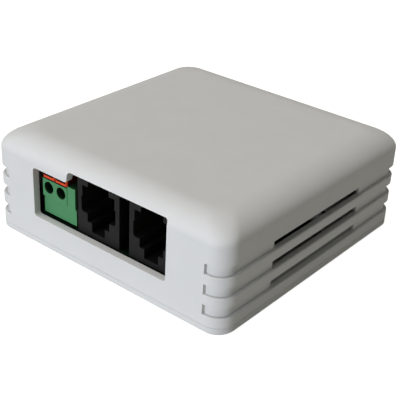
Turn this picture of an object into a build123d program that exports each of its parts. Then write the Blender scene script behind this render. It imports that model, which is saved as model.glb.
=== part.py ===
from build123d import *
import math
import os

# Rack temperature sensor in a vented room-sensor case, with a two-pole spring terminal
# and two six-way modular jacks.
# The origin is the centre of the underside. X runs along the connector face, Y goes back from it, Z is up.

# Case
side = 70.0
corner_radius = 4.5
crown_run = 7.0
crown_drop = 4.5
side_wall = 1.5
front_wall = 1.75
roof = 2.0
roof_clearance = 1.63
inner_corner_radius = 2.8

# Base plate, its rim and the snap hooks
base_thickness = 1.8
base_edge_bevel = 0.35
parting_bevel = 0.1
parting_gap = 0.08
rim_height = 4.2
rim_thickness = 1.2
rim_clearance = 0.15
hook_width = 6.0
hook_height = 0.8
hook_reach = 0.4
hook_lift = 0.9
hook_clearance = 0.15
hook_from_corner = 11.0

# Wrap-round grooves and the vent slots in them
groove_count = 3
groove_lowest = 4.28
groove_pitch = 4.92
groove_height = 2.6
groove_depth = 0.85
groove_end_from_corner = 5.2
rib_edge_bevel = 0.2
slot_length = 34.0

# Connector opening, measured from the terminal, the jacks and the board in it
opening_left_gap = 1.55
opening_right_gap = 0.79
opening_sill_drop = 0.4
opening_top_gap = 0.72
opening_step_gap = 1.5
opening_step_drop = 2.6
opening_corner_radius = 0.8

# Circuit board, its bosses and screws
board_top = 7.97
board_thickness = 1.6
board_side_gap = 3.5
board_front_gap = 0.35
board_back_gap = 19.4
boss_radius = 2.6
boss_from_side = 3.5
boss_behind_jacks = 3.5
boss_from_back = 4.0
screw_shank_radius = 0.88
screw_pilot_radius = 0.92
screw_hole_radius = 1.4
screw_head_radius = 2.3
screw_head_height = 1.4
screw_shank_length = 5.0
screw_recess_length = 2.4
screw_recess_width = 0.6
screw_recess_depth = 0.8

# Wall fixing slots in the base plate
wall_slot_spacing = 40.0
wall_slot_length = 8.0
wall_slot_width = 4.2
wall_slot_from_back = 13.0

# Modular jacks
jack_width = 12.9
jack_height = 14.0
jack_front_gap = 0.15
jack_from_terminal = 0.45
jack_gap = 2.98
jack_relief = 0.4
jack_relief_depth = 3.0
port_side_wall = 1.47
port_roof = 1.87
port_height_share = 0.475
port_shoulder = 0.3
port_shoulder_drop = 2.9
port_corner = 0.5
port_depth = 11.0
insert_depth = 4.5
latch_width = 6.8
latch_height_share = 0.14643
tab_width = 4.0
tab_height_share = 0.16071
comb_width = 6.4
comb_depth = 4.6
channel_height = 1.15
insert_clearance = 0.08
insert_side_wall = 1.0
insert_foot = 0.3
insert_roof_wall = 1.0
peg_radius = 1.25
peg_root = 1.0
peg_hole_radius = 1.32
peg_spacing = 10.16
peg_from_front = 9.0

# Jack spring contacts
contact_count = 6
contact_pitch = 1.02
contact_thickness = 0.4
contact_bend_radius = 0.5
contact_clearance = 0.06
contact_level = 0.62
contact_nose = 3.9
contact_tip_depth = 9.0
contact_tip_drop = 3.7
contact_row_near = 2.0
contact_row_far = 3.2
pin_stick_out = 1.3
pin_hole_clearance = 0.15

# Terminal block
terminal_left = 15.4
terminal_face_gap = 0.25
pole_pitch = 4.0
pole_count = 2
end_plate_width = 2.5
end_plate_groove = 0.25
terminal_depth = 11.5
terminal_foot = 0.68
terminal_foot_width = 1.4
terminal_foot_setback = 2.0
pole_top = 9.58
end_plate_top = 10.2
back_wall_top = 11.6
back_wall_thickness = 2.0
face_ledge = 4.75
face_recess = 0.4
face_ledge_slope = 0.35
wire_level = 7.58
wire_mouth_radius = 1.475
wire_bore_radius = 0.8
wire_mouth_depth = 2.6
wire_taper = 0.7
chamber_half_width = 1.45
chamber_front = 4.0
chamber_back = 10.3
chamber_roof = 0.75
button_lift = 0.05
button_length = 8.2
button_gap = 0.15
button_travel = 1.0
button_edge_radius = 0.3
prong_inner = 0.85
prong_width = 0.5
prong_front = 5.0
prong_thickness = 1.0
prong_reach = 3.0
prong_clearance = 0.08
finger_slot_width = 3.1
finger_slot_height = 0.7
finger_slot_depth = 1.4
finger_slot_lift = 0.85

# Clamp springs and current rails
rail_half_width = 1.15
rail_thickness = 0.6
rail_gap = 0.3
rail_length = 4.8
rail_below_wire = 1.65
rail_lift = 0.93
rail_pin_half_width = 0.4
spring_half_width = 1.1
spring_thickness = 0.3
spring_level = 1.65
spring_bend_radius = 0.35
spring_lean = 1.5
spring_rest_gap = 0.1

# Board components
element_from_side = 10.0
element_from_back = 12.1
element_radius = 2.3
element_flat = 1.0
element_height = 4.6
element_lead_spacing = 1.27
element_lead_width = 0.45
element_standoff = 3.5
chip_x = 3.0
chip_behind_jacks = 11.6
chip_width = 3.9
chip_length = 4.9
chip_height = 1.4
chip_standoff = 0.15
chip_lead_pitch = 1.27
chip_lead_width = 0.42
chip_lead_reach = 1.05
chip_lead_thickness = 0.2
diode_length = 4.3
diode_width = 2.6
diode_height = 2.1
diode_bevel = 0.4
small_part_length = 2.0
small_part_width = 1.25
capacitor_height = 1.0
capacitor_offset = 5.5
capacitor_pitch = 3.0
resistor_height = 0.55
resistor_offset = 6.0
resistor_pitch = 2.4

half = side / 2
front = -half
jack_top = board_top + jack_height
height = jack_top + roof_clearance + roof
cover_bottom = base_thickness + parting_gap
rim_top = base_thickness + rim_height
board_bottom = board_top - board_thickness
cavity = (-half + side_wall, half - side_wall, front + front_wall, half - side_wall)
board_front = cavity[2] + board_front_gap
board_back = cavity[3] - board_back_gap
board_half_width = cavity[1] - board_side_gap
terminal_x0 = -half + terminal_left
terminal_strip_x = terminal_x0 + pole_count * pole_pitch + button_gap
terminal_x1 = terminal_strip_x + end_plate_width
terminal_face = cavity[2] - terminal_face_gap
terminal_back = terminal_face + terminal_depth
terminal_bottom = board_top + terminal_foot
pole_centres = [terminal_x0 + pole_pitch * (k + 0.5) for k in range(pole_count)]
wire_z = board_top + wire_level
pole_roof = board_top + pole_top
chamber_y0 = terminal_face + chamber_front
chamber_y1 = terminal_face + chamber_back
chamber_z1 = pole_roof - chamber_roof
jack_x0 = terminal_x1 + jack_from_terminal
jack_centres = [jack_x0 + jack_width / 2 + k * (jack_width + jack_gap) for k in (0, 1)]
jack_front = cavity[2] + jack_front_gap
port_back = jack_front + port_depth
jack_back = port_back + insert_depth
port_half_width = jack_width / 2 - port_side_wall
port_top = jack_top - port_roof
port_floor = port_top - port_height_share * jack_height
latch_floor = port_floor - latch_height_share * jack_height
tab_floor = latch_floor - tab_height_share * jack_height
boss_places = [
    (sign * (board_half_width - boss_from_side), y)
    for sign in (-1, 1)
    for y in (jack_back + boss_behind_jacks, board_back - boss_from_back)
]
opening_x0 = terminal_x0 - opening_left_gap
opening_x1 = jack_centres[-1] + port_half_width + opening_right_gap
opening_step_x = jack_x0 - opening_step_gap
opening_bottom = board_top - opening_sill_drop
opening_top = jack_top + opening_top_gap
element_x = half - element_from_side
element_y = board_back - element_from_back
chip_y = jack_back + chip_behind_jacks
side_names = ("left", "right")


def block(x0, x1, y0, y1, z0, z1):
    """A box given by its six faces."""
    return Pos((x0 + x1) / 2, (y0 + y1) / 2, (z0 + z1) / 2) * Box(x1 - x0, y1 - y0, z1 - z0)


def rounded(x0, x1, y0, y1, z, radius):
    """A rounded rectangle lying at height z."""
    return Pos((x0 + x1) / 2, (y0 + y1) / 2, z) * RectangleRounded(x1 - x0, y1 - y0, radius)


def rounded_block(x0, x1, y0, y1, z0, z1, radius):
    """An upright prism with rounded corners."""
    return extrude(rounded(x0, x1, y0, y1, z0, radius), amount=z1 - z0)


def post(x, y, z0, z1, radius):
    """An upright round bar."""
    return Pos(x, y, (z0 + z1) / 2) * Cylinder(radius, z1 - z0)


def along_x(points, x0, x1):
    """A prism along X whose outline is a list of (y, z) points."""
    outline = Plane.YZ.offset(x0) * make_face(Polyline(*points, close=True))
    return extrude(outline, amount=x1 - x0)


def along_y(outline, y0, y1):
    """A prism along Y from a sketch drawn in (x, z)."""
    return extrude(Plane.XZ.offset(-y1) * outline, amount=y1 - y0)


def ribbon(points, thickness, bend, x0, x1):
    """A bent strip whose centre line is a list of (y, z) points, as wide as x0 to x1."""
    outline = trace(FilletPolyline(*points, radius=bend), thickness)
    return extrude(Plane.YZ.offset(x0) * outline, amount=x1 - x0)


def roll_over(foot, sign_x, sign_y, run, drop):
    """A quarter ellipse that rises upright from its foot and leans inwards along X and Y alike."""
    centre = foot - Vector(sign_x, sign_y) * run
    plane = Plane(origin=centre, x_dir=(sign_x, sign_y, 0), z_dir=(sign_y, -sign_x, 0))
    return plane * Edge.make_ellipse(run * math.sqrt(2), drop, start_angle=0, end_angle=90)


def crowned(x0, x1, y0, y1, z0, z1, radius, run, drop):
    """A rounded block whose upper edges roll over in a quarter ellipse, run wide and drop high."""
    start = z1 - drop
    rails = {}
    skin = []
    for sign_x, x in ((-1, x0), (1, x1)):
        for sign_y, y in ((-1, y0), (1, y1)):
            centre = Vector(x - sign_x * radius, y - sign_y * radius, start)
            feet = [centre + Vector(sign_x, 0) * radius, centre + Vector(0, sign_y) * radius]
            middle = centre + Vector(sign_x, sign_y) * radius * math.sqrt(0.5)
            low = ThreePointArc(feet[0], middle, feet[1]).edge()
            high = Pos(-sign_x * run, -sign_y * run, drop) * low
            pair = [roll_over(foot, sign_x, sign_y, run, drop) for foot in feet]
            skin.append(Face.make_gordon_surface([low, high], pair))
            rails[sign_x, sign_y] = pair
    for sign in (-1, 1):
        skin.append(Face.make_surface_from_curves(rails[sign, -1][0], rails[sign, 1][0]))
        skin.append(Face.make_surface_from_curves(rails[-1, sign][1], rails[1, sign][1]))
    skin += rounded(x0, x1, y0, y1, start, radius).faces()
    skin += rounded(x0 + run, x1 - run, y0 + run, y1 - run, z1, radius).faces()
    crown = Solid(Shell(Face.sew_faces(skin)[0]))
    return rounded_block(x0, x1, y0, y1, z0, start, radius) + crown


def tapered(x0, x1, y0, y1, z0, z1, radius, run, drop):
    """A rounded block whose upper edges slope inwards in a flat bevel, run wide and drop high."""
    start = z1 - drop
    foot = rounded(x0, x1, y0, y1, start, radius)
    head = rounded(x0 + run, x1 - run, y0 + run, y1 - run, z1, radius)
    return rounded_block(x0, x1, y0, y1, z0, start, radius) + loft([foot, head], ruled=True)


def groove(level):
    """The cutter of one groove: round both sides and the back, and a little way onto the front face."""
    bottom = level - groove_height
    floor = half - groove_depth
    core_radius = corner_radius - groove_depth
    ring = block(-side, side, -side, side, bottom, level)
    ring -= rounded_block(-floor, floor, -floor, floor, bottom, level, core_radius)
    reach = half - groove_end_from_corner
    return ring - block(-reach, reach, -side, 0, bottom, level)


def rib_edges(cover, level):
    """The outer upper edges of the rib below a groove."""
    bottom = level - groove_height
    edges = []
    for edge in cover.edges():
        box = edge.bounding_box()
        lies_flat = abs(box.min.Z - bottom) < 0.01 and abs(box.max.Z - bottom) < 0.01
        if lies_flat and not edge.is_interior:
            edges.append(edge)
    return edges


def hook_places():
    """Centre and outward direction of each snap hook: two at the front and two at the back."""
    x = half - hook_from_corner
    return [(-x, -1), (x, -1), (-x, 1), (x, 1)]


def hook_block(x, direction, reach, spread):
    """A snap hook on the rim, or with a spread the pocket that it clicks into."""
    low = base_thickness + hook_lift - spread
    high = base_thickness + hook_lift + hook_height + spread
    if direction < 0:
        y1 = cavity[2] + rim_clearance + rim_thickness / 2
        y0 = cavity[2] + rim_clearance - reach
    else:
        y0 = cavity[3] - rim_clearance - rim_thickness / 2
        y1 = cavity[3] - rim_clearance + reach
    return block(x - hook_width / 2 - spread, x + hook_width / 2 + spread, y0, y1, low, high)


def top_cover():
    """The moulded shell: crowned roof, grooved sides, vent slots and the stepped connector opening."""
    shell = crowned(-half, half, -half, half, cover_bottom, height, corner_radius, crown_run, crown_drop)
    x0, x1, y0, y1 = cavity
    inner_run = crown_run - side_wall
    inner_drop = crown_drop - roof
    ceiling = height - roof
    shell -= tapered(x0, x1, y0, y1, 0, ceiling, inner_corner_radius, inner_run, inner_drop)
    levels = [groove_lowest + groove_height + k * groove_pitch for k in range(groove_count)]
    for level in levels:
        shell -= groove(level)
    for level in levels:
        shell = chamfer(rib_edges(shell, level), rib_edge_bevel)
    for level in levels:
        for sign in (-1, 1):
            inside = sign * (x1 - side_wall)
            outside = sign * (half + side_wall)
            span = sorted((inside, outside))
            shell -= block(*span, -slot_length / 2, slot_length / 2, level - groove_height, level)
    outline = Polyline(
        (opening_x0, opening_bottom),
        (opening_x1, opening_bottom),
        (opening_x1, opening_top),
        (opening_step_x, opening_top),
        (opening_step_x, opening_top - opening_step_drop),
        (opening_x0, opening_top - opening_step_drop),
        close=True,
    )
    window = make_face(outline)
    window = fillet(window.vertices(), opening_corner_radius)
    shell -= along_y(window, front - side_wall, cavity[2] + jack_relief)
    relief_end = jack_centres[-1] + jack_width / 2 + jack_relief
    relief_back = cavity[2] + jack_relief_depth
    relief_top = jack_top + jack_relief
    shell -= block(opening_step_x, relief_end, cavity[2], relief_back, opening_bottom, relief_top)
    for x, direction in hook_places():
        shell -= hook_block(x, direction, hook_reach + hook_clearance, hook_clearance)
    return shell


def base_plate():
    """The plate with its upstanding rim, snap hooks, board bosses and wall fixing slots."""
    plate = rounded_block(-half, half, -half, half, 0, base_thickness, corner_radius)
    lower = plate.edges().group_by(Axis.Z)[0]
    plate = chamfer(lower, base_edge_bevel)
    upper = plate.faces().sort_by(Axis.Z)[-1].edges()
    plate = chamfer(upper, parting_bevel)
    x0, x1, y0, y1 = [
        edge + rim_clearance if edge < 0 else edge - rim_clearance for edge in cavity
    ]
    outer_radius = inner_corner_radius - rim_clearance
    rim = rounded_block(x0, x1, y0, y1, base_thickness, rim_top, outer_radius)
    rim -= rounded_block(
        x0 + rim_thickness, x1 - rim_thickness, y0 + rim_thickness, y1 - rim_thickness,
        base_thickness, rim_top, outer_radius - rim_thickness,
    )
    body = plate + rim
    for x, direction in hook_places():
        body += hook_block(x, direction, hook_reach, 0)
    for x, y in boss_places:
        body += post(x, y, base_thickness, board_bottom, boss_radius)
    for x, y in boss_places:
        body -= post(x, y, base_thickness / 2, board_bottom, screw_pilot_radius)
    for sign in (-1, 1):
        slot = SlotOverall(wall_slot_length, wall_slot_width)
        place = Pos(sign * wall_slot_spacing / 2, half - wall_slot_from_back, 0)
        body -= extrude(place * slot, amount=base_thickness)
    return body


def contact_rows():
    """X offset from the jack's centre and Y of the pin for each contact, in two staggered rows."""
    rows = []
    for k in range(contact_count):
        offset = (k - (contact_count - 1) / 2) * contact_pitch
        behind_port = contact_row_near if k % 2 == 0 else contact_row_far
        rows.append((offset, port_back + behind_port))
    return rows


def circuit_board():
    """The board with its screw holes and the holes of every pin and peg."""
    board = block(-board_half_width, board_half_width, board_front, board_back, board_bottom, board_top)
    low = board_bottom
    for x, y in boss_places:
        board -= post(x, y, low, board_top, screw_hole_radius)
    pin = contact_thickness / 2 + pin_hole_clearance
    for centre in jack_centres:
        for offset, y in contact_rows():
            x = centre + offset
            board -= block(x - pin, x + pin, y - pin, y + pin, low, board_top)
        for sign in (-1, 1):
            board -= post(centre + sign * peg_spacing / 2, jack_front + peg_from_front, low, board_top,
                          peg_hole_radius)
    rail = rail_pin_half_width + pin_hole_clearance
    rail_y = chamber_y0 + rail_gap + rail_thickness / 2
    for x in pole_centres:
        board -= block(x - rail, x + rail, rail_y - rail, rail_y + rail, low, board_top)
    lead = element_lead_width / 2 + pin_hole_clearance
    for x in element_lead_places():
        board -= block(x - lead, x + lead, element_y - lead, element_y + lead, low, board_top)
    return board


def board_screws():
    """Four self-tapping screws with crossed recesses."""
    screws = []
    for x, y in boss_places:
        screw = post(x, y, board_top, board_top + screw_head_height, screw_head_radius)
        rim_edge = screw.edges().sort_by(Axis.Z)[-1]
        screw = chamfer(rim_edge, screw_head_height / 3)
        screw += post(x, y, board_top - screw_shank_length, board_top, screw_shank_radius)
        top = board_top + screw_head_height
        floor = top - screw_recess_depth
        long_side = screw_recess_length / 2
        short_side = screw_recess_width / 2
        screw -= block(x - long_side, x + long_side, y - short_side, y + short_side, floor, top)
        screw -= block(x - short_side, x + short_side, y - long_side, y + long_side, floor, top)
        screws.append(screw)
    return Compound(children=screws)


def jack_housing(centre):
    """The moulded jack body: stepped port, contact comb in the roof, rear chamber and locating pegs."""
    outer = jack_width / 2
    body = block(centre - outer, centre + outer, jack_front, jack_back, board_top, jack_top)
    shoulder = port_top - port_shoulder_drop
    wide = port_half_width + port_shoulder
    right = [
        (port_half_width, port_top),
        (port_half_width, shoulder + port_shoulder),
        (wide, shoulder),
        (wide, port_floor + port_corner),
        (wide - port_corner, port_floor),
        (latch_width / 2, port_floor),
        (latch_width / 2, latch_floor),
        (tab_width / 2, latch_floor),
        (tab_width / 2, tab_floor),
    ]
    left = [(-x, z) for x, z in reversed(right)]
    port = make_face(Polyline(*(right + left), close=True))
    body -= along_y(Pos(centre, 0) * port, jack_front, port_back)
    comb = comb_width / 2
    body -= block(centre - comb, centre + comb, jack_front, jack_front + comb_depth, port_top, jack_top)
    channel_top = port_top + channel_height
    body -= block(centre - comb, centre + comb, jack_front, port_back, port_top, channel_top)
    chamber = jack_width / 2 - insert_side_wall
    chamber_top = jack_top - insert_roof_wall
    body -= block(centre - chamber, centre + chamber, port_back, jack_back, board_top, chamber_top)
    for sign in (-1, 1):
        body += post(centre + sign * peg_spacing / 2, jack_front + peg_from_front, board_bottom,
                     board_top + peg_root, peg_radius)
    return body


def jack_contact(x, pin_y):
    """One spring contact: a pin through the board, a run forward over the port and a bend back into it."""
    reach = contact_thickness / 2
    level = port_top + contact_level
    nose = (jack_front + contact_nose, level)
    tip = (jack_front + contact_tip_depth, level - contact_tip_drop)
    strip = ribbon([(pin_y, level), nose, tip], contact_thickness, contact_bend_radius, x - reach, x + reach)
    return strip + block(x - reach, x + reach, pin_y - reach, pin_y + reach,
                         board_bottom - pin_stick_out, level + reach)


def jack_insert(centre):
    """The carrier that closes the back of a jack, with a channel for each contact."""
    gap = insert_clearance
    width = jack_width / 2 - insert_side_wall - gap
    top = jack_top - insert_roof_wall - gap
    y0 = port_back + gap
    body = block(centre - width, centre + width, y0, jack_back, board_top + insert_foot, top)
    level = port_top + contact_level
    channel = contact_thickness / 2 + contact_clearance
    for offset, y in contact_rows():
        x = centre + offset
        body -= block(x - channel, x + channel, y - channel, y + channel,
                      board_top + insert_foot, level + channel)
        body -= block(x - channel, x + channel, y0, y, level - channel, top)
    return body


def jack_contacts(centre):
    """The six spring contacts of one jack."""
    return Compound(children=[jack_contact(centre + offset, y) for offset, y in contact_rows()])


def prong_span():
    """Front and back of a button's prongs at rest."""
    return terminal_face + prong_front, terminal_face + prong_front + prong_thickness


def prong_sides(x, spread):
    """The X limits of the two prongs that pass the wire, or with a spread those of their slots."""
    near = prong_inner - spread
    far = prong_inner + prong_width + spread
    return [(x - far, x - near), (x + near, x + far)]


def terminal_housing():
    """The terminal block: wire funnels, spring chambers, prong slots, end plate and feet."""
    ledge = board_top + face_ledge
    recessed = terminal_face + face_recess
    back_wall = terminal_back - back_wall_thickness
    profile = [
        (recessed, terminal_bottom),
        (terminal_back, terminal_bottom),
        (terminal_back, board_top + back_wall_top),
        (back_wall, board_top + back_wall_top),
        (back_wall, pole_roof),
        (terminal_face, pole_roof),
        (terminal_face, ledge + face_ledge_slope),
        (recessed, ledge),
    ]
    body = along_x(profile, terminal_x0, terminal_x1)
    body += block(terminal_strip_x, terminal_x1, terminal_face, back_wall, pole_roof,
                  board_top + end_plate_top)
    groove_middle = terminal_strip_x - end_plate_groove / 2
    notch = Rectangle(end_plate_groove, end_plate_groove, rotation=45)
    body -= extrude(Pos(groove_middle, terminal_face, ledge) * notch, amount=pole_roof - ledge)
    prong_y0, prong_y1 = prong_span()
    slot_back = prong_y1 + button_travel + prong_clearance
    for x in pole_centres:
        taper_start = terminal_face + wire_mouth_depth
        body -= along_y(Pos(x, wire_z) * Circle(wire_mouth_radius), terminal_face, taper_start)
        wide = Plane.XZ.offset(-taper_start) * Pos(x, wire_z)
        neck = Plane.XZ.offset(-taper_start - wire_taper) * Pos(x, wire_z)
        body -= loft([wide * Circle(wire_mouth_radius), neck * Circle(wire_bore_radius)])
        body -= along_y(Pos(x, wire_z) * Circle(wire_bore_radius), terminal_face, chamber_y0)
        body -= block(x - chamber_half_width, x + chamber_half_width, chamber_y0, chamber_y1,
                      terminal_bottom, chamber_z1)
        for x0, x1 in prong_sides(x, prong_clearance):
            body -= block(x0, x1, prong_y0 - prong_clearance, slot_back, chamber_z1, pole_roof)
    foot_front = terminal_face + terminal_foot_setback
    for x0 in (terminal_x0, terminal_x1 - terminal_foot_width):
        body += block(x0, x0 + terminal_foot_width, foot_front, terminal_back, board_top, terminal_bottom)
    return body


def release_button(x):
    """An orange push button: a slab with a screwdriver recess, and two prongs that open the clamp."""
    width = pole_pitch / 2 - button_gap / 2
    bottom = pole_roof + button_lift
    top = board_top + back_wall_top
    slab = block(x - width, x + width, terminal_face, terminal_face + button_length, bottom, top)
    front_edges = slab.faces().sort_by(Axis.Y)[0].edges()
    slab = chamfer(front_edges, button_edge_radius)
    slot = bottom + finger_slot_lift
    slab -= block(x - finger_slot_width / 2, x + finger_slot_width / 2, terminal_face,
                  terminal_face + finger_slot_depth, slot, slot + finger_slot_height)
    prong_y0, prong_y1 = prong_span()
    for x0, x1 in prong_sides(x, 0):
        slab += block(x0, x1, prong_y0, prong_y1, pole_roof - prong_reach, bottom)
    return slab


def current_rail(x):
    """The strip under the wire, and its solder pin through the board."""
    y0 = chamber_y0 + rail_gap
    top = wire_z - rail_below_wire
    low = board_top + rail_lift
    upright = block(x - rail_half_width, x + rail_half_width, y0, y0 + rail_thickness, low, top)
    shelf = block(x - rail_half_width, x + rail_half_width, y0, y0 + rail_length,
                  top - rail_thickness, top)
    pin = block(x - rail_pin_half_width, x + rail_pin_half_width, y0, y0 + rail_thickness,
                board_bottom - pin_stick_out, low)
    return upright + shelf + pin


def clamp_spring(x):
    """The bent leaf: foot under the rail, up the back, over the wire and down onto the rail."""
    reach = spring_thickness / 2
    foot = chamber_y0 + 2 * rail_gap + rail_thickness + reach
    heel = chamber_y1 - rail_gap - reach
    low = board_top + spring_level
    high = chamber_z1 - rail_gap - reach
    brow = prong_span()[1] + button_travel + rail_gap + reach
    tip = (brow + spring_lean, wire_z - rail_below_wire + spring_rest_gap + reach)
    path = [(foot, low), (heel, low), (heel, high), (brow, high), tip]
    return ribbon(path, spring_thickness, spring_bend_radius, x - spring_half_width, x + spring_half_width)


def element_lead_places():
    """X of the three leads of the sensor element."""
    return [element_x + k * element_lead_spacing for k in (-1, 0, 1)]


def sensor_element():
    """The moulded sensor element, round at the back and flat at the front."""
    bottom = board_top + element_standoff
    body = post(element_x, element_y, bottom, bottom + element_height, element_radius)
    flat_y = element_y - element_flat
    return body - block(element_x - side, element_x + side, flat_y - side, flat_y, 0, height)


def sensor_leads():
    """Three straight leads from below the board up to the element."""
    reach = element_lead_width / 2
    low = board_bottom - pin_stick_out
    top = board_top + element_standoff
    leads = [
        block(x - reach, x + reach, element_y - reach, element_y + reach, low, top)
        for x in element_lead_places()
    ]
    return Compound(children=leads)


def interface_chip():
    """The body of the small bus chip."""
    low = board_top + chip_standoff
    body = block(chip_x - chip_length / 2, chip_x + chip_length / 2,
                 chip_y - chip_width / 2, chip_y + chip_width / 2, low, low + chip_height)
    top_edges = body.faces().sort_by(Axis.Z)[-1].edges()
    return chamfer(top_edges, chip_height / 5)


def interface_chip_leads():
    """Eight gull-wing leads, face to face with the chip's sides and the board."""
    leads = []
    middle = board_top + chip_standoff + chip_height / 2
    thick = chip_lead_thickness
    edge = chip_width / 2
    profile = [
        (edge, middle),
        (edge + thick * 2, middle),
        (edge + thick * 2, board_top + thick),
        (edge + chip_lead_reach, board_top + thick),
        (edge + chip_lead_reach, board_top),
        (edge + thick, board_top),
        (edge + thick, middle - thick),
        (edge, middle - thick),
    ]
    for k in range(4):
        x = chip_x + (k - 1.5) * chip_lead_pitch
        for sign in (-1, 1):
            points = [(chip_y + sign * y, z) for y, z in profile]
            leads.append(along_x(points, x - chip_lead_width / 2, x + chip_lead_width / 2))
    return Compound(children=leads)


def small_parts(places, height_above):
    """Brick-shaped chip components lying on the board."""
    bricks = [
        block(x - small_part_length / 2, x + small_part_length / 2,
              y - small_part_width / 2, y + small_part_width / 2, board_top, board_top + height_above)
        for x, y in places
    ]
    return Compound(children=bricks)


def protection_diode():
    """The moulded surge diode between the terminal block and the chip."""
    x = terminal_x0 + diode_length
    y = terminal_back + 2 * diode_width
    body = block(x - diode_length / 2, x + diode_length / 2, y - diode_width / 2, y + diode_width / 2,
                 board_top, board_top + diode_height)
    top_edges = body.faces().sort_by(Axis.Z)[-1].edges()
    return chamfer(top_edges, diode_bevel)


def all_pieces():
    """Every piece with the name of its node."""
    capacitor_places = [(chip_x + capacitor_offset, chip_y + sign * capacitor_pitch / 2) for sign in (-1, 1)]
    capacitor_places.append((element_x - capacitor_offset, element_y))
    resistor_places = [(chip_x - resistor_offset, chip_y + k * resistor_pitch) for k in (-1, 0, 1)]
    pieces = {
        "top_cover": top_cover(),
        "base_plate": base_plate(),
        "circuit_board": circuit_board(),
        "board_screws": board_screws(),
        "terminal_housing": terminal_housing(),
        "sensor_element": sensor_element(),
        "sensor_leads": sensor_leads(),
        "interface_chip": interface_chip(),
        "interface_chip_leads": interface_chip_leads(),
        "protection_diode": protection_diode(),
        "capacitors": small_parts(capacitor_places, capacitor_height),
        "resistors": small_parts(resistor_places, resistor_height),
    }
    for name, centre in zip(side_names, jack_centres):
        pieces["jack_housing_" + name] = jack_housing(centre)
        pieces["jack_insert_" + name] = jack_insert(centre)
        pieces["jack_contacts_" + name] = jack_contacts(centre)
    for name, x in zip(side_names, pole_centres):
        pieces["release_button_" + name] = release_button(x)
        pieces["clamp_spring_" + name] = clamp_spring(x)
        pieces["current_rail_" + name] = current_rail(x)
    return pieces


os.makedirs("parts", exist_ok=True)
for node, solid in all_pieces().items():
    export_step(solid, "parts/" + node + ".step")
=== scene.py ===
import math

import bmesh
import bpy
from bpy.props import FloatProperty, FloatVectorProperty, PointerProperty
from mathutils import Matrix, Vector


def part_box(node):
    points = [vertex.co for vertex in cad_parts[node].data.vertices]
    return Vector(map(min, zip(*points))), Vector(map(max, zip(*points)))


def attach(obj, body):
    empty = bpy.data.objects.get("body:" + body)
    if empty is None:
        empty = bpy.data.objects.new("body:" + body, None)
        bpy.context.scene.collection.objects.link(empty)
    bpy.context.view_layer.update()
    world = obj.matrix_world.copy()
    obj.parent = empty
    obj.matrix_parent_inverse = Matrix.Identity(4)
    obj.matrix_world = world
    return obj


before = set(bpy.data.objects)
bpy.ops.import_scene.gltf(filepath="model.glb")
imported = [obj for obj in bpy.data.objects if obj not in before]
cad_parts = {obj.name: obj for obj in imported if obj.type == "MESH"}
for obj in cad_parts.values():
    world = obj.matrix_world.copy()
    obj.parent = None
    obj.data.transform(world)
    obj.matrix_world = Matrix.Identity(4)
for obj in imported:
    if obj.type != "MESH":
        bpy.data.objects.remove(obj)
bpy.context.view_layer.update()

bl_info = {
    "name": "Rack temperature sensor",
    "version": (1, 0, 0),
    "blender": (4, 5, 0),
    "location": "View3D > Sidebar > Sensor",
    "description": "Finishes and fine detail for a vented sensor case with jacks and a spring terminal",
    "category": "Object",
}

MM = 0.001
SIDES = ("left", "right")

# Stage
FLOOR_DROP = 0.02 * MM  # keeps the floor clear of the underside
SENSOR_WIDTH = 36  # of the camera, in mm
NEAREST_SEEN = 10 * MM  # from the camera

# Finishes
NOISE_LIMITS = (0.3, 0.7)  # nearly all noise values lie between them
DRIFT_DETAIL = 3.0  # of the noise that changes a tone slowly
# The three below set the painted shade in holes and narrow gaps.
OPEN_LIMITS = (0.35, 0.80)  # open share of the view round a point in a deep hole, and on a free face
PAINTED_HOLE_SHADE = 0.10  # share of the colour that is left in a deep hole
HOLE_SAMPLES = 8  # rays that measure the open share
BOX_EDGE = 0.1 * MM  # half the width over which the tone at the edge of a box changes
PLASTIC_SPREAD = 0.05  # how far the roughness of a plastic runs to either side
METAL_SPREAD = (-0.06, 0.08)  # how far the roughness of a metal runs down and up
METAL_DULLER = 0.14  # share by which the deeper tone of a metal is darker
METAL_DRIFT = 4  # sizes of a fine mark over which the tone of a metal changes
METAL_GRAIN_DEPTH = 0.004 * MM
CHIP_TONES = ((0.022, 0.022, 0.022), (0.03, 0.03, 0.03))
CAPACITOR_TONES = ((0.42, 0.30, 0.18), (0.50, 0.37, 0.23))
RESISTOR_TONES = ((0.03, 0.03, 0.03), (0.045, 0.045, 0.045))

# Fine detail
SAME_POINT = 0.001 * MM
END_PROUD = 0.02 * MM  # how far a chip part's end stands over its body
END_ROUNDING = 0.05 * MM
PIN_SPREAD = 1.3 * MM  # points of one pin lie closer than this to each other
PIN_START = 0.05 * MM  # how far below the board a point has to lie to be a pin's
PIN_COVER = 0.8  # share of a pin's length below the board that solder may cover
JOINT_NECK = 0.30 * MM
JOINT_SIDES = 16
JOINT_RINGS = 6
JOINT_CURVE = 2.4  # power by which a joint narrows from its foot to its neck


# Settings

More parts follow.
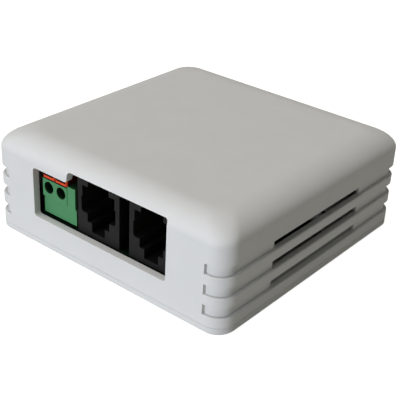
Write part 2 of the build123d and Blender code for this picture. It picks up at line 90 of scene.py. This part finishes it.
class StageSettings(bpy.types.PropertyGroup):
    """Camera, floor and lamps."""
    camera_place: FloatVectorProperty(
        name="Camera place", description="Where the lens stands", size=3,
        default=(0.126167, -0.158836, 0.116280), subtype="XYZ", unit="LENGTH",
    )
    camera_turn: FloatProperty(
        name="Camera turn", description="Turn of the view about the vertical",
        default=math.radians(38.440), subtype="ANGLE",
    )
    camera_dip: FloatProperty(
        name="Camera dip", description="How far the view looks down",
        default=math.radians(28.519), subtype="ANGLE",
    )
    camera_roll: FloatProperty(
        name="Camera roll", description="Roll of the frame about the line of sight",
        default=math.radians(2.912), subtype="ANGLE",
    )
    camera_lens: FloatProperty(
        name="Focal length", description="Focal length on a 36 mm sensor", default=83.70, subtype="NONE",
    )
    floor_size: FloatProperty(
        name="Floor size", description="Side of the square floor", default=4.0, unit="LENGTH",
    )
    floor_color: FloatVectorProperty(
        name="Floor colour", description="Colour that the floor throws back", size=3,
        default=(0.63, 0.63, 0.60), subtype="COLOR", min=0, max=1,
    )
    floor_glow: FloatProperty(
        name="Floor glow", description="White that is added where the floor is seen", default=0.90, min=0,
    )
    lamp_aim: FloatVectorProperty(
        name="Lamp aim", description="Point that both lamps face", size=3,
        default=(0, 0, 0.01), subtype="XYZ", unit="LENGTH",
    )
    key_place: FloatVectorProperty(
        name="Key place", description="Place of the lamp in front of the case", size=3,
        default=(-0.01, -0.67, 0.10), subtype="XYZ", unit="LENGTH",
    )
    key_size: FloatProperty(
        name="Key size", description="Side of the lamp in front of the case", default=0.12, unit="LENGTH",
    )
    key_power: FloatProperty(
        name="Key power", description="Power of the lamp in front of the case", default=2.54,
        subtype="POWER", unit="POWER",
    )
    key_color: FloatVectorProperty(
        name="Key colour", description="Colour of the lamp in front of the case", size=3,
        default=(0.86, 0.91, 1.0), subtype="COLOR", min=0, max=1,
    )
    top_place: FloatVectorProperty(
        name="Top place", description="Place of the lamp over the case", size=3,
        default=(-0.10, -0.16, 0.78), subtype="XYZ", unit="LENGTH",
    )
    top_size: FloatProperty(
        name="Top size", description="Side of the lamp over the case", default=0.40, unit="LENGTH",
    )
    top_power: FloatProperty(
        name="Top power", description="Power of the lamp over the case", default=3.12,
        subtype="POWER", unit="POWER",
    )
    top_color: FloatVectorProperty(
        name="Top colour", description="Colour of the lamp over the case", size=3,
        default=(1.0, 0.975, 0.93), subtype="COLOR", min=0, max=1,
    )
    sky_color: FloatVectorProperty(
        name="Room colour", description="Colour of the light from all round", size=3,
        default=(1.0, 0.98, 0.84), subtype="COLOR", min=0, max=1,
    )
    sky_strength: FloatProperty(
        name="Room light", description="Strength of the light from all round", default=0.102, min=0,
    )


class CaseSettings(bpy.types.PropertyGroup):
    """Plastic of the cover and the base plate."""
    light_tone: FloatVectorProperty(
        name="Light tone", description="Paler tone of the case plastic", size=3,
        default=(0.726, 0.726, 0.726), subtype="COLOR", min=0, max=1,
    )
    dark_tone: FloatVectorProperty(
        name="Dark tone", description="Deeper tone of the case plastic", size=3,
        default=(0.708, 0.708, 0.706), subtype="COLOR", min=0, max=1,
    )
    grain: FloatProperty(
        name="Grain", description="Size of the spark-eroded grain", default=0.28 * MM, unit="LENGTH",
    )
    grain_depth: FloatProperty(
        name="Grain depth", description="Depth of the spark-eroded grain", default=0.012 * MM, unit="LENGTH",
    )
    base_share: FloatProperty(
        name="Base plate", description="Share by which the base plate is deeper than the cover", default=0.03,
    )
    # The four below set painted shade: the base plate is darker inside a box, where the cover keeps the light
    # off.
    inner_side: FloatProperty(
        name="Inner side", description="Half the side of the box inside which the base plate is deeper",
        default=33.6 * MM, unit="LENGTH",
    )
    inner_foot: FloatProperty(
        name="Inner foot", description="Height at which that box starts", default=3.6 * MM, unit="LENGTH",
    )
    inner_top: FloatProperty(
        name="Inner top", description="Height at which that box ends", default=20 * MM, unit="LENGTH",
    )
    inner_shade_share: FloatProperty(
        name="Inner shade", description="Share by which the base plate is deeper inside that box", default=0.45,
    )


class ConnectorSettings(bpy.types.PropertyGroup):
    """Plastics and metals of the jacks and the terminal."""
    jack_color: FloatVectorProperty(
        name="Jack plastic", description="Colour of the two jacks", size=3,
        default=(0.0105, 0.0100, 0.0100), subtype="COLOR", min=0, max=1,
    )
    terminal_color: FloatVectorProperty(
        name="Terminal plastic", description="Colour of the terminal block", size=3,
        default=(0.070, 0.262, 0.110), subtype="COLOR", min=0, max=1,
    )
    button_color: FloatVectorProperty(
        name="Button plastic", description="Colour of the release buttons", size=3,
        default=(0.780, 0.060, 0.008), subtype="COLOR", min=0, max=1,
    )
    gilt_color: FloatVectorProperty(
        name="Gilt", description="Colour of the plated contacts", size=3,
        default=(0.90, 0.66, 0.28), subtype="COLOR", min=0, max=1,
    )
    spring_color: FloatVectorProperty(
        name="Spring steel", description="Colour of the clamp springs", size=3,
        default=(0.62, 0.62, 0.61), subtype="COLOR", min=0, max=1,
    )
    rail_color: FloatVectorProperty(
        name="Rails", description="Colour of the tinned rails", size=3,
        default=(0.74, 0.74, 0.72), subtype="COLOR", min=0, max=1,
    )


class BoardSettings(bpy.types.PropertyGroup):
    """Solder mask and the parts on the board."""
    mask_color: FloatVectorProperty(
        name="Solder mask", description="Colour of the board", size=3,
        default=(0.001, 0.012, 0.006), subtype="COLOR", min=0, max=1,
    )
    tin_color: FloatVectorProperty(
        name="Tin", description="Colour of tinned leads and solder", size=3,
        default=(0.74, 0.74, 0.72), subtype="COLOR", min=0, max=1,
    )
    screw_color: FloatVectorProperty(
        name="Screws", description="Colour of the dull zinc on the board screws", size=3,
        default=(0.24, 0.24, 0.23), subtype="COLOR", min=0, max=1,
    )
    cap_length: FloatProperty(
        name="Cap length", description="Length of a chip part's bright end", default=0.35 * MM, unit="LENGTH",
    )
    joint_foot: FloatProperty(
        name="Joint radius", description="Radius of a solder joint on its pad", default=0.75 * MM, unit="LENGTH",
    )
    joint_depth: FloatProperty(
        name="Joint depth", description="How far a solder joint runs down its pin", default=0.9 * MM,
        unit="LENGTH",
    )


SETTINGS = {
    "sensor_stage": StageSettings,
    "sensor_case": CaseSettings,
    "sensor_connectors": ConnectorSettings,
    "sensor_board": BoardSettings,
}


# Nodes of a material

def start_finish(name):
    """A new material with its tree and its shader."""
    finish = bpy.data.materials.new(name)
    finish.use_nodes = True
    tree = finish.node_tree
    return finish, tree, tree.nodes["Principled BSDF"]


def grain_of(tree, size, detail=2.0):
    """Noise whose grains are about that size, in metres on the part."""
    place = tree.nodes.new("ShaderNodeTexCoord")
    noise = tree.nodes.new("ShaderNodeTexNoise")
    noise.inputs["Scale"].default_value = 1 / size
    noise.inputs["Detail"].default_value = detail
    tree.links.new(place.outputs["Object"], noise.inputs["Vector"])
    return noise.outputs["Fac"]


def stretched(tree, value, source, target):
    """A value stretched from the limits of its source to those of its target."""
    stretch = tree.nodes.new("ShaderNodeMapRange")
    stretch.inputs["From Min"].default_value, stretch.inputs["From Max"].default_value = source
    stretch.inputs["To Min"].default_value, stretch.inputs["To Max"].default_value = target
    tree.links.new(value, stretch.inputs["Value"])
    return stretch.outputs["Result"]


def largest(tree, values):
    """The largest of some values."""
    most, *others = values
    for value in others:
        larger = tree.nodes.new("ShaderNodeMath")
        larger.operation = "MAXIMUM"
        tree.links.new(most, larger.inputs[0])
        tree.links.new(value, larger.inputs[1])
        most = larger.outputs[0]
    return most


def two_tones(tree, value, first, second):
    """A colour between two tones, as a noise value says."""
    mix = tree.nodes.new("ShaderNodeMix")
    mix.data_type = "RGBA"
    mix.inputs["A"].default_value = (*first, 1)
    mix.inputs["B"].default_value = (*second, 1)
    tree.links.new(stretched(tree, value, NOISE_LIMITS, (0, 1)), mix.inputs["Factor"])
    return mix.outputs["Result"]


def deepened(tree, color, share):
    """A colour times a value that is the share of it that is left."""
    deepen = tree.nodes.new("ShaderNodeMix")
    deepen.data_type = "RGBA"
    deepen.blend_type = "MULTIPLY"
    deepen.inputs["Factor"].default_value = 1.0
    tree.links.new(color, deepen.inputs["A"])
    tree.links.new(share, deepen.inputs["B"])
    return deepen.outputs["Result"]


def painted_gap_shade(tree, color, reach):
    """A colour with painted shade that deepens in holes and narrow gaps, within that reach."""
    near = tree.nodes.new("ShaderNodeAmbientOcclusion")
    near.inputs["Distance"].default_value = reach
    near.samples = HOLE_SAMPLES
    return deepened(tree, color, stretched(tree, near.outputs["AO"], OPEN_LIMITS, (PAINTED_HOLE_SHADE, 1.0)))


def painted_inner_shade(tree, color, low, high, share):
    """A colour with painted shade inside a box, on the faces that the cover keeps from the light."""
    place = tree.nodes.new("ShaderNodeTexCoord")
    beyond = place.outputs["Object"]
    middle = (Vector(low) + Vector(high)) / 2
    half = (Vector(high) - Vector(low)) / 2
    for operation, amount in (("SUBTRACT", middle), ("ABSOLUTE", None), ("SUBTRACT", half)):
        step = tree.nodes.new("ShaderNodeVectorMath")
        step.operation = operation
        if amount:
            step.inputs[1].default_value = amount
        tree.links.new(beyond, step.inputs[0])
        beyond = step.outputs["Vector"]
    axes = tree.nodes.new("ShaderNodeSeparateXYZ")
    tree.links.new(beyond, axes.inputs["Vector"])
    outmost = largest(tree, [axes.outputs[axis] for axis in "XYZ"])
    return deepened(tree, color, stretched(tree, outmost, (-BOX_EDGE, BOX_EDGE), (1 - share, 1.0)))


def roughen(tree, shader, size, depth, low, high):
    """Fine marks of that size and depth, with the roughness between low and high."""
    fine = grain_of(tree, size)
    tree.links.new(stretched(tree, fine, NOISE_LIMITS, (low, high)), shader.inputs["Roughness"])
    bump = tree.nodes.new("ShaderNodeBump")
    bump.inputs["Distance"].default_value = depth
    bump.inputs["Strength"].default_value = 1.0
    tree.links.new(fine, bump.inputs["Height"])
    tree.links.new(bump.outputs["Normal"], shader.inputs["Normal"])


# Finishes

def darker(color, share):
    """A tone of the same colour that is darker by that share."""
    return tuple(channel * (1 - share) for channel in color)


def moulded_plastic(name, first, second, grain, depth, roughness, drift=6 * MM, gloss=0.5, gap_shade_reach=0.0,
                    inner=None):
    """Moulded plastic with a fine eroded grain and a slow drift between two tones, and painted shade in holes
    and gaps and inside a box where asked.
    """
    finish, tree, shader = start_finish(name)
    shader.inputs["Specular IOR Level"].default_value = gloss
    color = two_tones(tree, grain_of(tree, drift, DRIFT_DETAIL), first, second)
    # Painted shade that darkens holes and narrow gaps.
    if gap_shade_reach:
        color = painted_gap_shade(tree, color, gap_shade_reach)
    # Painted shade that darkens the faces inside a box.
    if inner:
        color = painted_inner_shade(tree, color, *inner)
    tree.links.new(color, shader.inputs["Base Color"])
    roughen(tree, shader, grain, depth, roughness - PLASTIC_SPREAD, roughness + PLASTIC_SPREAD)
    return finish


def plated_metal(name, color, roughness, scratch=0.2 * MM):
    """Plated or tinned metal with fine marks and a slight change of tone."""
    finish, tree, shader = start_finish(name)
    drift = grain_of(tree, scratch * METAL_DRIFT, DRIFT_DETAIL)
    tree.links.new(two_tones(tree, drift, darker(color, METAL_DULLER), color), shader.inputs["Base Color"])
    shader.inputs["Metallic"].default_value = 1.0
    down, up = METAL_SPREAD
    roughen(tree, shader, scratch, METAL_GRAIN_DEPTH, roughness + down, roughness + up)
    return finish


def dress(node, finish):
    """Gives a node of the frame its finish."""
    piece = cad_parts[node]
    piece.data.materials.clear()
    piece.data.materials.append(finish)


# Fine detail

def loose_parts(node):
    """The corner points of each separate solid of a node."""
    form = bmesh.new()
    form.from_mesh(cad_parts[node].data)
    bmesh.ops.remove_doubles(form, verts=form.verts, dist=SAME_POINT)
    seen = set()
    parts = []
    for start in form.verts:
        if start in seen:
            continue
        seen.add(start)
        reached = [start]
        points = []
        while reached:
            here = reached.pop()
            points.append(here.co.copy())
            for edge in here.link_edges:
                other = edge.other_vert(here)
                if other not in seen:
                    seen.add(other)
                    reached.append(other)
        parts.append(points)
    form.free()
    return parts


def limits(points):
    """The lowest and the highest corner of the box round some points."""
    return (Vector([min(point[axis] for point in points) for axis in range(3)]),
            Vector([max(point[axis] for point in points) for axis in range(3)]))


def add_ends(form, low, high, length):
    """Bright caps with rounded edges over both ends of a chip part."""
    size = high - low
    along = 0 if size.x > size.y else 1
    for side in (-1, 1):
        made = bmesh.ops.create_cube(form, size=1.0)["verts"]
        extent = size + Vector((END_PROUD, END_PROUD, END_PROUD)) * 2
        extent[along] = length + END_PROUD
        centre = (low + high) / 2
        centre[along] += side * (size[along] / 2 + END_PROUD - extent[along] / 2)
        for corner in made:
            corner.co = centre + Vector([corner.co[axis] * extent[axis] for axis in range(3)])
        edges = {edge for corner in made for edge in corner.link_edges}
        bmesh.ops.bevel(form, geom=list(edges), offset=END_ROUNDING, segments=2, profile=0.5, affect="EDGES")


def pin_tips(node, level):
    """The centre of each pin that a node pushes below a level, with the lowest point of that pin."""
    tips = []
    for points in loose_parts(node):
        below = sorted((point for point in points if point.z < level), key=lambda point: (point.x, point.y))
        while below:
            first = below[0]
            group = [point for point in below if (point.xy - first.xy).length < PIN_SPREAD]
            below = [point for point in below if (point.xy - first.xy).length >= PIN_SPREAD]
            low, high = limits(group)
            tips.append(((low + high) / 2, low.z))
    return tips


def add_joint(form, centre, level, foot, depth):
    """A solder joint: a hollow cone that runs from its pad down the pin."""
    rings = []
    for step in range(JOINT_RINGS):
        share = step / (JOINT_RINGS - 1)
        radius = JOINT_NECK + (foot - JOINT_NECK) * (1 - share) ** JOINT_CURVE
        ring = []
        for turn in range(JOINT_SIDES):
            angle = 2 * math.pi * turn / JOINT_SIDES
            x, y = centre.x + radius * math.cos(angle), centre.y + radius * math.sin(angle)
            ring.append(form.verts.new((x, y, level - depth * share)))
        rings.append(ring)
    for upper, lower in zip(rings, rings[1:]):
        for turn in range(JOINT_SIDES):
            after = (turn + 1) % JOINT_SIDES
            face = form.faces.new((upper[turn], lower[turn], lower[after], upper[after]))
            face.smooth = True
    form.faces.new(rings[0])
    form.faces.new(reversed(rings[-1]))


def add_piece(context, name, form, finish):
    """A new piece on the housing, from a form that is ready."""
    bmesh.ops.recalc_face_normals(form, faces=form.faces)
    mesh = bpy.data.meshes.new(name)
    form.to_mesh(mesh)
    form.free()
    mesh.materials.append(finish)
    piece = bpy.data.objects.new(name, mesh)
    context.scene.collection.objects.link(piece)
    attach(piece, "housing")


# Stage

def seen_directly(tree):
    """One for rays from the camera, mirrors and glass, and zero for light that is thrown back."""
    path = tree.nodes.new("ShaderNodeLightPath")
    rays = ("Is Camera Ray", "Is Glossy Ray", "Is Transmission Ray")
    return largest(tree, [path.outputs[name] for name in rays])


def build_floor(context, settings):
    """A pale floor that looks white and keeps the shadow of the case."""
    half = settings.floor_size / 2
    mesh = bpy.data.meshes.new("floor")
    corners = [(-half, -half, 0), (half, -half, 0), (half, half, 0), (-half, half, 0)]
    mesh.from_pydata(corners, [], [(0, 1, 2, 3)])
    floor = bpy.data.objects.new("floor", mesh)
    floor.location.z = -FLOOR_DROP
    context.scene.collection.objects.link(floor)
    finish, tree, shader = start_finish("floor_white")
    shader.inputs["Base Color"].default_value = (*settings.floor_color, 1)
    shader.inputs["Roughness"].default_value = 0.9
    shader.inputs["Specular IOR Level"].default_value = 0.0
    glow = tree.nodes.new("ShaderNodeEmission")
    glow.inputs["Strength"].default_value = settings.floor_glow
    join = tree.nodes.new("ShaderNodeAddShader")
    choose = tree.nodes.new("ShaderNodeMixShader")
    output = tree.nodes["Material Output"]
    tree.links.new(shader.outputs["BSDF"], join.inputs[0])
    tree.links.new(glow.outputs["Emission"], join.inputs[1])
    tree.links.new(seen_directly(tree), choose.inputs["Fac"])
    tree.links.new(shader.outputs["BSDF"], choose.inputs[1])
    tree.links.new(join.outputs["Shader"], choose.inputs[2])
    tree.links.new(choose.outputs["Shader"], output.inputs["Surface"])
    mesh.materials.append(finish)


def build_room(context, settings):
    """Warm weak light from all round, white where it is seen."""
    world = bpy.data.worlds.new("room")
    context.scene.world = world
    world.use_nodes = True
    tree = world.node_tree
    lit = tree.nodes["Background"]
    lit.inputs["Color"].default_value = (*settings.sky_color, 1)
    lit.inputs["Strength"].default_value = settings.sky_strength
    white = tree.nodes.new("ShaderNodeBackground")
    white.inputs["Color"].default_value = (1, 1, 1, 1)
    white.inputs["Strength"].default_value = 1.0
    choose = tree.nodes.new("ShaderNodeMixShader")
    tree.links.new(seen_directly(tree), choose.inputs["Fac"])
    tree.links.new(lit.outputs["Background"], choose.inputs[1])
    tree.links.new(white.outputs["Background"], choose.inputs[2])
    tree.links.new(choose.outputs["Shader"], tree.nodes["World Output"].inputs["Surface"])


def area_lamp(context, name, place, aim, size, power, color):
    """A square soft lamp that faces a point."""
    light = bpy.data.lights.new(name, "AREA")
    light.shape = "SQUARE"
    light.size = size
    light.energy = power
    light.color = color
    lamp = bpy.data.objects.new(name, light)
    lamp.location = place
    direction = Vector(aim) - Vector(place)
    lamp.rotation_euler = direction.to_track_quat("-Z", "Y").to_euler()
    context.scene.collection.objects.link(lamp)


def build_lamps(context, settings):
    """A small cool lamp low in front, and a larger, warmer one high above."""
    area_lamp(context, "front_lamp", settings.key_place, settings.lamp_aim, settings.key_size,
              settings.key_power, settings.key_color)
    area_lamp(context, "top_lamp", settings.top_place, settings.lamp_aim, settings.top_size,
              settings.top_power, settings.top_color)


def build_camera(context, settings):
    """The camera at the place, turn, dip and roll of the photograph."""
    data = bpy.data.cameras.new("camera")
    data.sensor_width = SENSOR_WIDTH
    data.lens = settings.camera_lens
    data.clip_start = NEAREST_SEEN
    camera = bpy.data.objects.new("camera", data)
    turn = Matrix.Rotation(settings.camera_turn, 4, "Z")
    dip = Matrix.Rotation(math.pi / 2 - settings.camera_dip, 4, "X")
    roll = Matrix.Rotation(settings.camera_roll, 4, "Z")
    camera.matrix_world = Matrix.Translation(settings.camera_place) @ turn @ dip @ roll
    context.scene.collection.objects.link(camera)
    context.scene.camera = camera


# Operators

class SENSOR_OT_stage(bpy.types.Operator):
    """Builds the floor, the lamps, the room light and the camera"""
    bl_idname = "sensor.stage"
    bl_label = "Build stage"

    def execute(self, context):
        settings = context.scene.sensor_stage
        for build in (build_floor, build_room, build_lamps, build_camera):
            build(context, settings)
        context.scene.view_settings.view_transform = "Standard"
        return {"FINISHED"}


class SENSOR_OT_case(bpy.types.Operator):
    """Finishes the cover and the base plate"""
    bl_idname = "sensor.case"
    bl_label = "Finish case"

    def execute(self, context):
        settings = context.scene.sensor_case
        dark, light = tuple(settings.dark_tone), tuple(settings.light_tone)
        share, side = settings.base_share, settings.inner_side
        shell = {"grain": settings.grain, "depth": settings.grain_depth, "roughness": 0.72, "gloss": 0.3}
        # Painted shade on the base plate inside this box.
        inner = ((-side, -side, settings.inner_foot), (side, side, settings.inner_top), settings.inner_shade_share)
        dress("top_cover", moulded_plastic("cover_plastic", dark, light, **shell))
        dress("base_plate", moulded_plastic("base_plastic", darker(dark, share), darker(light, share),
                                            inner=inner, **shell))
        return {"FINISHED"}


class SENSOR_OT_jacks(bpy.types.Operator):
    """Finishes the jacks, their inserts and their contacts"""
    bl_idname = "sensor.jacks"
    bl_label = "Finish jacks"

    def execute(self, context):
        settings = context.scene.sensor_connectors
        color = tuple(settings.jack_color)
        # The jack plastic gets painted shade in the ports and narrow gaps.
        plastic = moulded_plastic("jack_plastic", darker(color, 0.15), color, grain=0.2 * MM, depth=0.006 * MM,
                                  roughness=0.42, drift=3 * MM, gloss=0.07, gap_shade_reach=4 * MM)
        gilt = plated_metal("gilt_contacts", tuple(settings.gilt_color), roughness=0.28)
        for side in SIDES:
            dress("jack_housing_" + side, plastic)
            dress("jack_insert_" + side, plastic)
            dress("jack_contacts_" + side, gilt)
        return {"FINISHED"}


class SENSOR_OT_terminal(bpy.types.Operator):
    """Finishes the terminal block, its buttons, springs and rails"""
    bl_idname = "sensor.terminal"
    bl_label = "Finish terminal"

    def execute(self, context):
        settings = context.scene.sensor_connectors
        green = tuple(settings.terminal_color)
        orange = tuple(settings.button_color)
        fine = {"grain": 0.25 * MM, "depth": 0.006 * MM}
        # Both plastics get painted shade in the wire holes and narrow gaps.
        block = moulded_plastic("terminal_plastic", darker(green, 0.08), green, roughness=0.42, drift=3 * MM,
                                gloss=0.15, gap_shade_reach=4.5 * MM, **fine)
        button = moulded_plastic("button_plastic", darker(orange, 0.10), orange, roughness=0.38, drift=2 * MM,
                                 gloss=0.2, gap_shade_reach=5 * MM, **fine)
        steel = plated_metal("spring_steel", tuple(settings.spring_color), roughness=0.30)
        tin = plated_metal("tinned_copper", tuple(settings.rail_color), roughness=0.34)
        dress("terminal_housing", block)
        for side in SIDES:
            dress("release_button_" + side, button)
            dress("clamp_spring_" + side, steel)
            dress("current_rail_" + side, tin)
        return {"FINISHED"}


class SENSOR_OT_board(bpy.types.Operator):
    """Finishes the board, its screws and the parts on it"""
    bl_idname = "sensor.board"
    bl_label = "Finish board"

    def execute(self, context):
        settings = context.scene.sensor_board
        mask = tuple(settings.mask_color)
        # The board gets painted shade in narrow gaps.
        dress("circuit_board", moulded_plastic("solder_mask", darker(mask, 0.12), mask, grain=0.6 * MM,
                                               depth=0.008 * MM, roughness=0.3, gloss=0.12, gap_shade_reach=4 * MM))
        dress("board_screws", plated_metal("dull_zinc", tuple(settings.screw_color), roughness=0.50))
        tin = plated_metal("lead_tin", tuple(settings.tin_color), roughness=0.34)
        dress("sensor_leads", tin)
        dress("interface_chip_leads", tin)
        black = moulded_plastic("chip_plastic", *CHIP_TONES, grain=0.15 * MM, depth=0.006 * MM, roughness=0.5,
                                drift=2 * MM)
        for node in ("sensor_element", "interface_chip", "protection_diode"):
            dress(node, black)
        ceramic = {"grain": 0.2 * MM, "depth": 0.004 * MM, "roughness": 0.35, "drift": 1 * MM}
        dress("capacitors", moulded_plastic("capacitor_ceramic", *CAPACITOR_TONES, **ceramic))
        dress("resistors", moulded_plastic("resistor_ceramic", *RESISTOR_TONES, **ceramic))
        return {"FINISHED"}


class SENSOR_OT_solder(bpy.types.Operator):
    """Adds the bright ends of the chip parts and the solder joints under the board"""
    bl_idname = "sensor.solder"
    bl_label = "Add solder"

    def execute(self, context):
        settings = context.scene.sensor_board
        solder = plated_metal("solder", tuple(settings.tin_color), roughness=0.24)
        ends = bmesh.new()
        for node in ("capacitors", "resistors"):
            for points in loose_parts(node):
                add_ends(ends, *limits(points), settings.cap_length)
        add_piece(context, "chip_part_ends", ends, solder)
        joints = bmesh.new()
        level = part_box("circuit_board")[0].z
        for node in ("jack_contacts_left", "jack_contacts_right", "current_rail_left", "current_rail_right",
                     "sensor_leads"):
            for centre, tip in pin_tips(node, level - PIN_START):
                depth = min(settings.joint_depth, (level - tip) * PIN_COVER)
                add_joint(joints, centre, level, settings.joint_foot, depth)
        if not joints.faces:
            raise RuntimeError("no pin reaches through the board")
        add_piece(context, "solder_joints", joints, solder)
        return {"FINISHED"}


OPERATORS = (
    SENSOR_OT_stage,
    SENSOR_OT_case,
    SENSOR_OT_jacks,
    SENSOR_OT_terminal,
    SENSOR_OT_board,
    SENSOR_OT_solder,
)


class SENSOR_PT_panel(bpy.types.Panel):
    """Sizes, colours and steps of the sensor"""
    bl_idname = "SENSOR_PT_panel"
    bl_label = "Rack temperature sensor"
    bl_space_type = "VIEW_3D"
    bl_region_type = "UI"
    bl_category = "Sensor"

    def draw(self, context):
        for operator in OPERATORS:
            self.layout.operator(operator.bl_idname)
        for name, group in SETTINGS.items():
            box = self.layout.box()
            box.label(text=group.__doc__)
            for prop in group.__annotations__:
                box.prop(getattr(context.scene, name), prop)


CLASSES = (*SETTINGS.values(), *OPERATORS, SENSOR_PT_panel)


def register():
    """Puts the settings, the operators and the panel in place."""
    for each in CLASSES:
        bpy.utils.register_class(each)
    for name, group in SETTINGS.items():
        setattr(bpy.types.Scene, name, PointerProperty(type=group))


def unregister():
    """Takes them away again."""
    for name in SETTINGS:
        delattr(bpy.types.Scene, name)
    for each in reversed(CLASSES):
        bpy.utils.unregister_class(each)


def main():
    """Builds the stage, finishes the pieces and adds the fine detail."""
    register()
    bpy.ops.sensor.stage()
    bpy.ops.sensor.case()
    bpy.ops.sensor.jacks()
    bpy.ops.sensor.terminal()
    bpy.ops.sensor.board()
    bpy.ops.sensor.solder()


if __name__ == "__main__":
    main()
